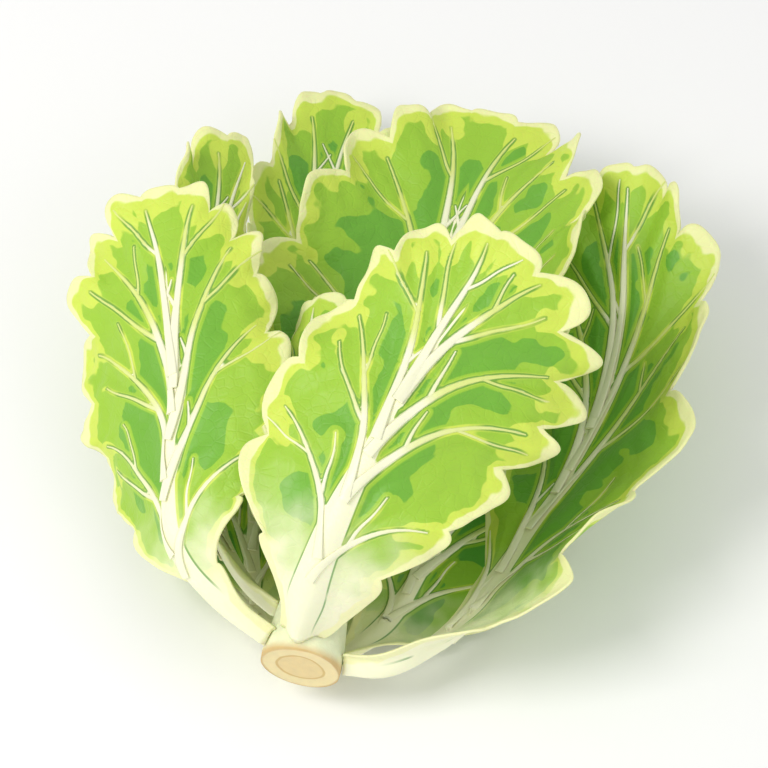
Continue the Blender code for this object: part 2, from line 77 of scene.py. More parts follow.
# Left and right are as seen from outside the head, tips up. path: height along the axis,
# distance from it, sideways drift. Where a value has two numbers they are left and right.
# shift sets a swollen blade inwards, or outwards where it is negative, clear of its neighbours.
# Each leaf's shade value is painted shade: the higher it is, the darker its greens, for the leaves
# that sit low or deep in the head.
leaves = {
    "bottom_leaf_centre": dict(
        azimuth=181,
        path=(
            (9, 17, 0), (13, 27, 0), (26, 38, 0), (60, 55, 0), (120, 70.5, 0),
            (165, 79, 0), (198, 86, 0),
        ),
        width=(46, 46), egg=(0.4, 0.4), neck=(-0.04, -0.04), foot=20, rib=(6.5, 6),
        twist=(0, 0), cup=(400, 400), lobes=(7, 5), wave=2.5, roll=0, phase=0.4, floor=0.0,
        shadeDepth=0.75, columns=9,
    ),
    "bottom_leaf_left": dict(
        azimuth=-135,
        path=(
            (12, 17, 0), (20, 29, 0), (30, 40, 0), (50, 48, 0), (85, 58, 0), (125, 68, 0),
            (155, 77, 0),
        ),
        width=(20, 36), egg=(0.1, 0.1), neck=(-0.04, 0.02), foot=17, rib=(6, 5.5),
        twist=(-26, -46), cup=(400, 300), lobes=(7, 5), wave=3, roll=0, phase=1.7, floor=7,
        shadeDepth=0.7, columns=9,
    ),
    "bottom_leaf_right": dict(
        azimuth=142,
        path=(
            (12, 17, 0), (21, 29, 0), (33, 42, 0), (60, 56, 0), (100, 73, 0),
            (135, 88, 0), (160, 99, 0),
        ),
        width=(44, 28), egg=(0.4, 0.4), neck=(-0.04, -0.04), foot=15, rib=(6, 5.5),
        twist=(26, 49), cup=(300, 400), lobes=(7, 5), wave=3, roll=0, phase=2.9, floor=9,
        shadeDepth=0.8, columns=12,
    ),
    "front_leaf": dict(
        azimuth=-5,
        path=(
            (11, 17, 0), (20, 34, 4), (44, 54, 13), (68, 64, 22), (95, 68, 31),
            (125, 71, 44), (147, 75, 56), (164, 78, 66),
        ),
        width=(48, 62), egg=(0.1, 0.75), neck=(0, -0.3), foot=30, rib=(7.5, 8.5),
        twist=(0, 0), cup=(110, 72), lobes=(8, 6), wave=4, roll=3, phase=0.2, floor=4,
        shadeDepth=0.3,
    ),
    "front_left_leaf": dict(
        azimuth=-65,
        path=(
            (11, 17, 0), (18, 38, 0), (31, 59, 0), (64, 71, 0), (89, 75, 0),
            (125, 84, -7), (160, 94, -14), (184, 100, -18),
        ),
        width=(58, 44), egg=(0.05, 0.15), neck=(0.1, 0.02), foot=21, rib=(7, 7),
        twist=(0, 52), cup=(150, 54), lobes=(9, 5.5), wave=4, roll=1, phase=1.3, floor=4,
        shadeDepth=0.28,
    ),
    "left_leaf": dict(
        azimuth=-108,
        path=(
            (26, 15, 0), (34, 28, 0), (52, 46, 0), (85, 65, 0), (125, 77, 0),
            (180, 82, 0), (236, 83, 0),
        ),
        width=(12, 36), egg=(0.5, 0.5), neck=(0.05, 0.05), foot=18, rib=(6, 6),
        twist=(-10, -38), cup=(60, 90), lobes=(8, 6), wave=5, roll=1, phase=0.9, floor=16,
        shadeDepth=0.35,
    ),
    "right_leaf": dict(
        azimuth=97,
        path=(
            (8, 17, 0), (10, 31, 0), (22, 47, 0), (39, 60, 1), (58, 68, 3), (80, 76, 6),
            (105, 85.5, 10), (140, 93.8, 14), (185, 94.8, 16), (252, 81, 13),
        ),
        width=(49, 44), egg=(0, 0.9), neck=(-0.04, 0.12), foot=22, rib=(7, 7),
        twist=(40, 60), cup=(110, 200), lobes=(9, 6.5), wave=5, roll=1, phase=2.2, floor=10,
        shadeDepth=0.45, shift=-1.6,
    ),
    "back_leaf_left": dict(
        azimuth=-167,
        path=(
            (31, 14, 0), (35, 23, 3), (56, 32, 9), (120, 46, 19), (200, 61, 28),
            (282, 75, 35),
        ),
        width=(34, 32), egg=(0.4, 0.4), neck=(0, 0), foot=18, rib=(5, 5), twist=(0, 0),
        cup=(90, 70), lobes=(8, 6), wave=3.5, roll=1, phase=0.7, floor=12, shadeDepth=0.5,
        columns=11, shift=0.8,
    ),
    "back_leaf_right": dict(
        azimuth=160,
        path=(
            (42, 12, 0), (47, 20, 0), (65, 25, 0), (120, 29, -1), (180, 34, -2),
            (230, 40, -3), (276, 49, -4),
        ),
        width=(72, 73), egg=(0.1, -0.1), neck=(0, 0), foot=32, rib=(5.5, 5.5),
        twist=(8, 18), cup=(80, 90), lobes=(9, 6.5), wave=4, roll=1, phase=2.0, floor=14,
        shadeDepth=0.38, shift=1.0,
    ),
    "inner_leaf_front": dict(
        azimuth=-34,
        path=(
            (36, 13.5, 0), (42, 23, 0), (60, 31, 0), (90, 36, 0), (120, 36, 0),
            (150, 34, 0),
        ),
        width=(30, 30), egg=(0.3, 0.3), neck=(-0.04, -0.04), foot=30, rib=(5, 5),
        twist=(0, 0), cup=(40, 40), lobes=(6, 4.5), wave=3, roll=0, phase=0.6, floor=4,
        shadeDepth=0.9, columns=10,
    ),
    "inner_leaf_right": dict(
        azimuth=68,
        path=(
            (42, 11, 0), (49, 23, 0), (72, 37, 0), (110, 46, 0), (150, 50, 0),
            (172, 53, 0),
        ),
        width=(26, 16), egg=(0.3, 0.3), neck=(-0.04, -0.04), foot=32, rib=(5, 5),
        twist=(0, 0), cup=(46, 40), lobes=(6, 4.5), wave=3, roll=0, phase=1.9, floor=4,
        shadeDepth=0.9, columns=10,
    ),
    "inner_leaf_left": dict(
        azimuth=-108,
        path=(
            (48, 11, 0), (55, 18, 0), (78, 23, 0), (115, 26, 0), (150, 28, 0),
            (160, 29, 0),
        ),
        width=(16, 24), egg=(0.3, 0.3), neck=(-0.04, -0.04), foot=30, rib=(4.5, 4.5),
        twist=(0, 0), cup=(28, 28), lobes=(6, 4.5), wave=3, roll=0, phase=3.0, floor=4,
        shadeDepth=0.9, columns=10,
    ),
    "heart_leaf_front": dict(
        azimuth=14,
        path=(
            (58, 7, 0), (65, 14, 0), (88, 19, 0), (120, 22, 0), (146, 22, 0),
        ),
        width=(20, 20), egg=(0.3, 0.3), neck=(-0.04, -0.04), foot=36, rib=(4, 3.5),
        twist=(0, 0), cup=(22, 22), lobes=(6, 4), wave=2, roll=0, phase=0.3, floor=4,
        shadeDepth=0.5, columns=10,
    ),
    "heart_leaf_back": dict(
        azimuth=172,
        path=(
            (62, 7, 0), (69, 11, 0), (95, 13, 0), (130, 15, 0), (160, 17, 0),
        ),
        width=(20, 20), egg=(0.3, 0.3), neck=(-0.04, -0.04), foot=36, rib=(4, 3.5),
        twist=(0, 0), cup=(22, 22), lobes=(6, 4), wave=2, roll=0, phase=2.4, floor=4,
        shadeDepth=0.5, columns=10,
    ),
}

# the veins that branch from each rib
veinMake = {
    "perSide": 4,
    "apart": 0.185,
    "reach": 0.8,         # share of the way to the margin
    "rootRadius": 2.9,
    "tipRadius": 0.3,
    "forkAt": (0.38, 0.66),
    "forkAngle": 26.0,
    "forkLength": 0.62,
    "forkRadius": 0.68,    # share of the vein that it leaves
    "clear": 3.4,
    "flatness": 0.24,      # height of a vein over half its width
    "sides": 8,
    "first": 0.06,         # place of the first vein, counted from the tip
    "jitter": 0.14,
    "stagger": 0.3,        # how far the right veins lag behind the left ones
    "step": 1.2,           # between the points of a vein
    "sway": 0.55,
    "shortest": 9.0,
    "forkFree": 0.35,      # share of a fork that needn't keep clear
    "evenPasses": 3,       # how often the placed points are evened out
    "innerSize": 0.9,      # the ridges on the inner face, against the outer ones
    "innerSink": 0.12,
    "endSink": 1.05,
}


def ease(x):
    x = np.clip(x, 0.0, 1.0)
    return x * x * (3.0 - 2.0 * x)


def spline(values, places, at):
    # smooth curve through the rows of values, stated at these places
    values, places = np.asarray(values, float), np.asarray(places, float)
    k = np.clip(np.searchsorted(places, at, side="right") - 1, 0, len(places) - 2)
    step = (places[k + 1] - places[k])[:, None]
    share = (at[:, None] - places[k][:, None]) / step
    slopes = np.gradient(values, places, axis=0)
    over = np.maximum(share - 1.0, 0.0)
    share = np.minimum(share, 1.0)
    rise = share * share * (3.0 - 2.0 * share)
    return (values[k] * (1.0 - rise) + values[k + 1] * rise
            + step * slopes[k] * share * (1.0 - share) ** 2
            - step * slopes[k + 1] * share * share * (1.0 - share)
            + step * slopes[k + 1] * over)


def unit(rows):
    return rows / np.maximum(np.linalg.norm(rows, axis=-1, keepdims=True), 1e-9)


def headAxes():
    rise, turn = math.radians(head["rise"]), math.radians(head["turn"])
    axis = np.array([math.sin(turn) * math.cos(rise), math.cos(turn) * math.cos(rise),
                     math.sin(rise)])
    right = np.array([math.cos(turn), -math.sin(turn), 0.0])
    return axis, np.cross(right, axis), right


axis, front, right = headAxes()


def cutCentre():
    # centre of the stem's cut face, from the frame's own stem
    spots = np.array([v.co[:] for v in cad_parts["stem"].data.vertices]) / mm
    spots = np.unique(np.round(spots, 3), axis=0)
    heights = spots @ axis
    return spots[heights < heights.min() + 6.0].mean(axis=0)


stemFoot = cutCentre()


def stemRadius(height):
    share = np.clip(np.asarray(height, float) / head["stemLength"], 0.0, 1.0)
    return head["stemRadius"] + (head["stemTopRadius"] - head["stemRadius"]) * share**1.6


def ribLine(leaf):
    # the rib's centre line in space and the directions across the leaf along it
    azimuth = math.radians(leaf["azimuth"])
    outward = front * math.cos(azimuth) + right * math.sin(azimuth)
    sideways = right * math.cos(azimuth) - front * math.sin(azimuth)
    path = np.array(leaf["path"], float)
    path[0, 1] = stemRadius(path[0, 0]) + head["jointGap"]
    chord = np.concatenate([[0.0], np.cumsum(np.linalg.norm(np.diff(path, axis=0), axis=1))])
    rows = spline(path, chord, np.linspace(0.0, chord[-1] * 1.1, 240))
    points = np.outer(rows[:, 0], axis) + np.outer(rows[:, 1], outward)
    points = points + np.outer(rows[:, 2], sideways) + stemFoot
    s = np.concatenate([[0.0], np.cumsum(np.linalg.norm(np.diff(points, axis=0), axis=1))])
    length = float(np.interp(chord[-1], np.linspace(0.0, chord[-1] * 1.1, 240), s))
    along = unit(np.gradient(points, s, axis=0))
    across = unit(sideways - along * (along @ sideways)[:, None])
    inward = np.cross(along, across)
    at = s / length
    twist = np.radians(leaf["twist"][0] + (leaf["twist"][1] - leaf["twist"][0]) * at)[:, None]
    twist = twist * ease(at / 0.25)[:, None]
    turnedAcross = across * np.cos(twist) + inward * np.sin(twist)
    turnedInward = inward * np.cos(twist) - across * np.sin(twist)
    clasp = (1.0 - ease(s / 40.0))[:, None]
    wrap = unit(-outward * clasp + turnedInward * (1.0 - clasp))
    return {"s": s, "length": length, "points": points, "across": turnedAcross,
            "wrap": wrap, "inward": turnedInward, "clasp": clasp[:, 0]}


def sample(line, name, s):
    rows = line[name]
    if rows.ndim == 1:
        return np.interp(s, line["s"], rows)
    return np.stack([np.interp(s, line["s"], rows[:, i]) for i in range(3)], axis=-1)


def footHalfWidth(leaf):
    return math.radians(leaf["foot"]) * (stemRadius(leaf["path"][0][0]) + head["jointGap"])


def ribHalfWidth(leaf, share):
    foot = (footHalfWidth(leaf) - leafMake["footWing"]) / leafMake["ribReach"]
    swell = foot + (leaf["rib"][1] - foot) * ease(share / 0.12)
    return swell * (1.0 - 0.93 * np.clip(share, 0.0, 1.0)) ** 0.9


def thickness(leaf, x, share):
    rib = (leaf["rib"][0] - leafMake["blade"]) * (1.0 - np.clip(share / 0.86, 0.0, 1.0)) ** 1.25
    off = np.clip(np.abs(x) / (leafMake["ribReach"] * ribHalfWidth(leaf, share)), 0.0, 1.0)
    return leafMake["blade"] + rib * 0.5 * (1.0 + np.cos(math.pi * off))


def lobePlace(leaf, u):
    t = np.abs(u)
    return t + 0.08 * np.sin(2.6 * math.pi * t + leaf["phase"]) * t * (1.0 - t)


def marginLobes(leaf, u):
    count, height = leaf["lobes"]
    roundLobe = 2.0 * np.abs(np.cos(math.pi * count * u)) ** 0.8 - 1.0
    uneven = 1.0 + 0.3 * np.sin(5.1 * u + 2.0 * leaf["phase"])
    ripple = leafMake["ripple"] * np.sin(3.3 * math.pi * count * u + 2.0 * leaf["phase"])
    return (height * roundLobe * uneven + ripple) * ease((1.0 - np.abs(u)) / 0.3)


def marginWaves(leaf, u, b):
    broad = np.sin(1.7 * math.pi * u + 3.0 * leaf["phase"])
    frill = np.sin(math.pi * leaf["lobes"][0] * u + leaf["phase"])
    wave = leaf["wave"] * (frill * b**2.2 + 0.35 * broad * b)
    return (wave - leaf["roll"] * b**4) * ease((1.0 - np.abs(u)) / 0.3)


def sided(leaf, key, u):
    return np.where(u < 0, leaf[key][0], leaf[key][1])


def flatLeaf(leaf, length, u, b):
    # a point of the flat leaf: x across it, s along it; u goes round it, b goes out from the rib
    t = lobePlace(leaf, u)
    share = 0.25 * (1.0 + np.cos(math.pi * t)) + 0.5 * (1.0 - t * t)
    egg = sided(leaf, "egg", u)
    roundEnd = 2.0 * np.sqrt(np.maximum(share * (1.0 - share), 0.0))
    broad = roundEnd * (1.0 + egg * (2.0 * share - 1.0)) / (1.0 + 0.45 * egg * egg)
    broad = broad * ease((share - sided(leaf, "neck", u)) / 0.36)
    marginX = sided(leaf, "width", u) * broad + footHalfWidth(leaf) * ease((t - 0.45) / 0.55)
    marginS = length * share
    ribS = leafMake["ribTop"] * marginS
    span = np.maximum(np.sqrt(marginX**2 + (marginS - ribS) ** 2), 1e-6)
    calm = ease(marginX / leafMake["fullLobes"])
    lobes = marginLobes(leaf, u) * calm / span
    reach = b + np.maximum(lobes, -0.22) * b**4
    side = np.where(u < 0, -1.0, 1.0)
    return side * marginX * reach, ribS + (marginS - ribS) * reach, calm, span


def softFloor(z, low):
    over = (z - low) / 3.0
    return low + 3.0 * np.where(over > 20, over, np.log1p(np.exp(np.minimum(over, 20))))


def placeLeaf(leaf, line, u, x, s, b, calm, lift):
    # the leaf's inner face in space; lift moves it further inwards
    clasp = sample(line, "clasp", s)
    openCurve = np.where(x < 0, 1.0 / leaf["cup"][0], 1.0 / leaf["cup"][1])
    footCurve = 1.0 / (stemRadius(leaf["path"][0][0]) + head["jointGap"])
    curve = openCurve * (1.0 - clasp) + footCurve * clasp
    angle = curve * x
    across, inward = sample(line, "across", s), sample(line, "inward", s)
    spot = sample(line, "points", s) + across * (np.sin(angle) / curve)[:, None]
    spot = spot + sample(line, "wrap", s) * ((1.0 - np.cos(angle)) / curve)[:, None]
    normal = inward * np.cos(angle)[:, None] - across * np.sin(angle)[:, None]
    spot = spot + normal * (calm * marginWaves(leaf, u, b) + lift)[:, None]
    ribOnly = thickness(leaf, x, s / line["length"]) - leafMake["blade"]
    low = leaf["floor"] + leafMake["pressedBlade"] * leafMake["blade"]
    spot[:, 2] = softFloor(spot[:, 2], low + leafMake["pressedRib"] * ribOnly)
    return spot


def clearStem(spots, atFoot):
    rel = spots - stemFoot
    height = rel @ axis
    radial = rel - np.outer(height, axis)
    size = np.maximum(np.linalg.norm(radial, axis=1), 1e-6)
    clear = stemRadius(height) + head["jointGap"]
    inside = (size < clear) & (height < head["stemLength"] + 2.0)
    return spots + radial * (np.where(atFoot | inside, clear - size, 0.0) / size)[:, None]


def bezier(a, b, c, count):
    t = np.linspace(0.0, 1.0, count)[:, None]
    return a * (1 - t) ** 2 + 2 * b * t * (1 - t) + c * t * t


def turned(vector, degrees):
    a = math.radians(degrees)
    return np.array([vector[0] * math.cos(a) - vector[1] * math.sin(a),
                     vector[0] * math.sin(a) + vector[1] * math.cos(a)])


def veinPaths(leaf, line, random):
    # veins in the flat leaf, as rows of x, s and radius: first those from the rib, then their forks
    length, found = line["length"], []
    size = 0.55 + 0.45 * min(1.0, max(leaf["width"]) / 45.0)

    def grow(start, bend, end, radius, keepClear):
        count = max(6, int(np.linalg.norm(end - start) / veinMake["step"]))
        run = bezier(start, bend, end, count)
        sway = np.sin(np.linspace(0.0, 2.6 * math.pi, count) + random.uniform(0, 6))
        side = unit(np.gradient(run, axis=0))[:, ::-1] * np.array([1.0, -1.0])
        run = run + side * (veinMake["sway"] * sway * np.linspace(0, 1, count) ** 0.5)[:, None]
        if keepClear:
            # a fork ends before it meets another vein
            others = np.concatenate(found)[:, :2]
            gaps = np.linalg.norm(run[:, None, :] - others[None, :, :], axis=2).min(axis=1)
            first = int(veinMake["forkFree"] * count)
            near = np.nonzero(gaps[first:] < veinMake["clear"])[0]
            if len(near):
                run = run[:first + near[0]]
            if len(run) < 8:
                return
        share = np.linspace(0.0, 1.0, len(run))
        radius = radius + (veinMake["tipRadius"] - radius) * share**0.8
        found.append(np.column_stack([run, radius]))

    for sign in (-1.0, 1.0):
        for i in range(veinMake["perSide"]):
            place = i + random.uniform(-veinMake["jitter"], veinMake["jitter"])
            t = veinMake["first"] + veinMake["apart"] * (place + veinMake["stagger"] * (sign > 0))
            x, s = flatLeaf(leaf, length, np.array([sign * t]), np.array([veinMake["reach"]]))[:2]
            end = np.array([x[0], s[0]])
            if abs(end[0]) < veinMake["shortest"] and i > 1:
                continue
            start = np.array([0.0, s[0] * (0.62 - 0.26 * t)])
            bend = np.array([end[0] * 0.2, start[1] + 0.66 * (end[1] - start[1])])
            grow(start, bend, end, veinMake["rootRadius"] * size * (1.0 - 0.35 * t), False)
    for vein in list(found):
        run, count = vein[:, :2], len(vein)
        whole = np.linalg.norm(run[-1] - run[0])
        turn = 1.0 if random.random() < 0.5 else -1.0
        for place in veinMake["forkAt"]:
            k = int(place * (count - 1))
            ahead = unit(run[min(k + 3, count - 1)] - run[max(k - 3, 0)])
            reach = whole * (1.0 - place * 0.55) * veinMake["forkLength"]
            reach = reach * random.uniform(0.8, 1.15)
            angle = turn * veinMake["forkAngle"] * random.uniform(0.8, 1.2)
            turn = -turn
            if reach > veinMake["shortest"]:
                middle = run[k] + turned(ahead, angle * 1.2) * reach * 0.45
                stop = run[k] + turned(ahead, angle) * reach
                grow(run[k], middle, stop, vein[k, 2] * veinMake["forkRadius"], True)
    return found


def bladeGrid(columns, rings):
    # numbering of the grid: the rib's ring is shared by the two sides of the leaf
    def spot(ring, column):
        if ring == 0:
            return abs(column)
        return columns + 1 + (ring - 1) * (2 * columns + 1) + column + columns

    faces = [(spot(r, c), spot(r + 1, c), spot(r + 1, c + 1), spot(r, c + 1))
             for r in range(rings) for c in range(-columns, columns)]
    rim = [spot(rings, c) for c in range(-columns, columns + 1)]
    rim += [spot(r, columns) for r in range(rings - 1, 0, -1)] + [columns]
    rim += [spot(r, -columns) for r in range(1, rings)]
    return np.array(faces), np.array(rim)


def vertexNormals(spots, faces):
    corners = spots[faces]
    cross = np.cross(corners[:, 2] - corners[:, 0], corners[:, 3] - corners[:, 1])
    total = np.zeros_like(spots)
    for corner in range(4):
        np.add.at(total, faces[:, corner], cross)
    return unit(total)


def cornerWeights(x, s, corner, px, ps):
    # the triangle of a flat face that holds the point, and the weights of its corners there
    for picked in ((0, 1, 2), (0, 2, 3)):
        tri = corner[list(picked)]
        edges = np.array([x[tri[1:]] - x[tri[0]], s[tri[1:]] - s[tri[0]]])
        if abs(np.linalg.det(edges)) < 1e-9:
            continue
        one, two = np.linalg.solve(edges, np.array([px - x[tri[0]], ps - s[tri[0]]]))
        weights = np.array([1.0 - one - two, one, two])
        if weights.min() > -0.02:
            break
    weights = np.clip(weights, 0.0, 1.0)
    return tri, weights / weights.sum()


def buildLeaf(name, leaf):
    # the blade's fine mesh and the points that its veins run through, in millimetres
    random = np.random.default_rng(int(leaf["phase"] * 10) + 7)
    line = ribLine(leaf)
    length = line["length"]
    columns = leaf.get("columns", leafMake["columnsPerLobe"]) * leaf["lobes"][0]
    rings = leafMake["hiddenRings" if "columns" in leaf else "rings"]
    shares = np.linspace(0.0, 1.0, columns + 1)
    around = np.concatenate([-shares[:0:-1], shares])
    out = np.linspace(0.0, 1.0, rings + 1)
    u = np.concatenate([shares] + [around] * rings)
    b = np.concatenate([np.zeros(columns + 1)] + [np.full(2 * columns + 1, v) for v in out[1:]])
    x, s, calm, span = flatLeaf(leaf, length, u, b)
    share = s / length
    faces, rim = bladeGrid(columns, rings)

    veins = veinPaths(leaf, line, random)
    veinPoints = np.concatenate(veins)
    tree = KDTree(len(veinPoints))
    for number, row in enumerate(veinPoints):
        tree.insert((row[0], row[1], 0.0), number)
    tree.balance()
    nearest = [tree.find((px, ps, 0.0)) for px, ps in zip(x, s)]
    away = np.array([hit[2] for hit in nearest])
    width = np.array([veinPoints[hit[1], 2] for hit in nearest])
    ribOff = np.abs(x) - ribHalfWidth(leaf, share) * (0.9 - 0.75 * ease((share - 0.25) / 0.5))
    veinOff = np.minimum(away - width, ribOff + 6.0 * ease((share - 0.8) / 0.1))

    fullness = calm * ease((s - leafMake["swellFrom"]) / leafMake["swellOver"])
    offVein = np.maximum(veinOff, 0.0)
    pillow = leafMake["pillow"] * (1.0 - np.exp(-(offVein / leafMake["pillowReach"]) ** 2))
    a1, a2, a3 = random.uniform(0, 6.28, 3)
    crinkle = (np.sin(x / 3.1 + 1.3 * np.sin(s / 5.7 + a1) + a2)
               * np.sin(s / 3.7 + 1.2 * np.sin(x / 4.9 + a3)))
    crinkle = crinkle * leafMake["crinkle"] * ease(veinOff / 3.0) * b
    crinkle = crinkle + leafMake["curl"] * b**5 * np.sin(2.2 * math.pi * leaf["lobes"][0] * u + a1)
    lift = fullness * (pillow + crinkle + leaf.get("shift", 0.0))
    inner = placeLeaf(leaf, line, u, x, s, b, calm, lift)
    normals = vertexNormals(inner, faces)
    thick = thickness(leaf, x, share)
    shoulder = leafMake["shoulder"] * np.exp(-(offVein / 1.6) ** 2)
    outer = inner - normals * (thick + shoulder * fullness)[:, None]
    outer[:, 2] = np.maximum(outer[:, 2], leaf["floor"])
    atFoot = np.abs(u) > 0.999
    inner, outer = clearStem(inner, atFoot), clearStem(outer, atFoot)

    # the rim is rounded by one more row, half way between the faces
    middle = 0.5 * (inner + outer)
    ringStep = 2 * columns + 1
    edge = middle[rim]
    outwards = unit(middle[rim[:ringStep]] - middle[rim[:ringStep] - ringStep])
    edge[:ringStep] += outwards * leafMake["rimRound"]
    edge[0], edge[ringStep - 1] = middle[rim[0]], middle[rim[ringStep - 1]]
    edge[:, 2] = np.maximum(edge[:, 2], leaf["floor"])
    count = len(inner)
    spots = np.concatenate([inner, outer, edge])
    quads = [tuple(int(i) for i in f) for f in faces]
    quads += [tuple(int(i) + count for i in f[::-1]) for f in faces]
    for k in range(len(rim)):
        m = (k + 1) % len(rim)
        p, q, e, g = int(rim[k]), int(rim[m]), 2 * count + k, 2 * count + m
        quads += [(q, p, e, g), (g, e, p + count, q + count)]

    def both(values):
        return np.concatenate([values, values, values[rim]])

    fields = {"veinOff": both(veinOff), "rimOff": both((1.0 - b) * span), "along": both(share)}
    flat = BVHTree.FromPolygons([(px, ps, 0.0) for px, ps in zip(x, s)],
                                [tuple(int(i) for i in f) for f in faces])
    normals = vertexNormals(outer, faces)
    paths = []
    for vein in veins:
        rows = []
        offRib = np.abs(vein[:, 0]) - ribHalfWidth(leaf, vein[:, 1] / length)
        ends = ease((np.linspace(0.0, 1.0, len(vein)) - 0.75) / 0.25)
        sunk = np.maximum(1.0 - ease((offRib + 0.5) / 2.5), ends)
        age = vein[:, 1] / length * ease((offRib - 0.5) / 9.0)
        for k, (px, ps, radius) in enumerate(vein):
            hit = flat.find_nearest((px, ps, 0.0))
            if hit[0] is None or hit[3] > 0.6:
                break
            corner, weights = cornerWeights(x, s, faces[hit[2]], px, ps)
            rows.append(np.concatenate([weights @ outer[corner], weights @ inner[corner],
                                        weights @ normals[corner], [radius, age[k], sunk[k]]]))
        if len(rows) > 5:
            rows = np.array(rows)
            for _ in range(veinMake["evenPasses"]):
                rows[1:-1] = 0.25 * rows[:-2] + 0.5 * rows[1:-1] + 0.25 * rows[2:]
            paths.append(rows)
    print(name, "blade", len(quads) * 2, "triangles,", len(paths), "veins")
    return spots, quads, fields, paths


def meshObject(name, spots, faces, material, fields=None):
    mesh = bpy.data.meshes.new(name)
    mesh.from_pydata([tuple(p * mm) for p in spots], [], faces)
    for key, values in (fields or {}).items():
        attribute = mesh.attributes.new(key, "FLOAT", "POINT")
        attribute.data.foreach_set("value", np.asarray(values, np.float32))
    mesh.materials.append(material)
    mesh.shade_smooth()
    made = bpy.data.objects.new(name, mesh)
    bpy.context.scene.collection.objects.link(made)
    return made


def wire(tree, start, end):
    tree.links.new(start, end)


def maths(tree, operation, a, b=None):
    made = tree.nodes.new("ShaderNodeMath")
    made.operation = operation
    for socket, value in zip(made.inputs, (a, b)):
        if isinstance(value, (int, float)):
            socket.default_value = value
        elif value is not None:
            wire(tree, value, socket)
    return made.outputs[0]


def centred(tree, value, reach):
    # a noise value made to swing evenly about zero
    return maths(tree, "MULTIPLY", maths(tree, "SUBTRACT", value, 0.5), reach)


def ranged(tree, value, low, reach):
    return maths(tree, "ADD", low, maths(tree, "MULTIPLY", value, reach))


def smooth(tree, value, low, high):
    # 0 below low, 1 above high, or the other way round
    made = tree.nodes.new("ShaderNodeMapRange")
    made.interpolation_type = "SMOOTHSTEP"
    wire(tree, value, made.inputs["Value"])
    made.inputs["From Min"].default_value = min(low, high)
    made.inputs["From Max"].default_value = max(low, high)
    made.inputs["To Min"].default_value = 0.0 if low < high else 1.0
    made.inputs["To Max"].default_value = 1.0 if low < high else 0.0
    return made.outputs["Result"]


def blend(tree, factor, a, b):
    made = tree.nodes.new("ShaderNodeMix")
    made.data_type = "RGBA"
    for socket, value in ((made.inputs[0], factor), (made.inputs[6], a), (made.inputs[7], b)):
        if isinstance(value, (int, float, tuple)):
            socket.default_value = value
        else:
            wire(tree, value, socket)
    return made.outputs[2]


def field(tree, name):
    made = tree.nodes.new("ShaderNodeAttribute")
    made.attribute_name = name
    return made.outputs["Fac"]


def noise(tree, scale, detail=2.0, shift=None):
    place = tree.nodes.new("ShaderNodeTexCoord").outputs["Object"]
    if shift is not None:
        add = tree.nodes.new("ShaderNodeVectorMath")
        wire(tree, place, add.inputs[0])
        wire(tree, shift, add.inputs[1])
        place = add.outputs[0]
    made = tree.nodes.new("ShaderNodeTexNoise")
    made.inputs["Scale"].default_value = scale
    made.inputs["Detail"].default_value = detail
    wire(tree, place, made.inputs["Vector"])
    return made.outputs["Fac"]


def colour(hexCode):
    rgb = [int(hexCode[i:i + 2], 16) / 255 for i in (0, 2, 4)]
    return tuple(c / 12.92 if c <= 0.04045 else ((c + 0.055) / 1.055) ** 2.4 for c in rgb) + (1.0,)


# the shade teal and the crease green are painted shade; the cream is the ribs' own colour and also
# the painted highlight along the rims
greens = {
    "light": "CFE257", "mid": "A5CD3E", "deep": "80B935", "shadeTeal": "3A9440",
    "cream": "F4F4B8", "white": "FAFAE4", "creaseShade": "3C8E34",
}
shades = {name: colour(code) for name, code in greens.items()}
shades["rib"] = tuple(0.6 * p + 0.4 * q for p, q in zip(shades["white"], shades["cream"]))

# how the blade is painted; edges are millimetres from the rim and the veins
paintMake = {
    "patchScale": 95.0,
    "blotchScale": 55.0,
    "grainScale": 620.0,
    "netScale": 210.0,
    "midFrom": 17.5,       # where the mid green starts
    "deepFrom": 40.0,
    "patchSpread": 18.0,   # how far the noises move these edges
    "blotchSpread": 75.0,
    # painted shade: how far a leaf's shade value grows its deep green patches
    "shadeSpread": 14.0,
    "footSpread": 0.16,
    # the cream band along the margin, a painted highlight
    "rimHighlightWidth": 4.2,
    "rimHighlightSpread": 9.0,
    "rimHighlightStrength": 0.85,
    # the dark line beside each vein, painted shade
    "creaseShadeAt": 0.3,
    "creaseShadeStrength": 0.75,
}


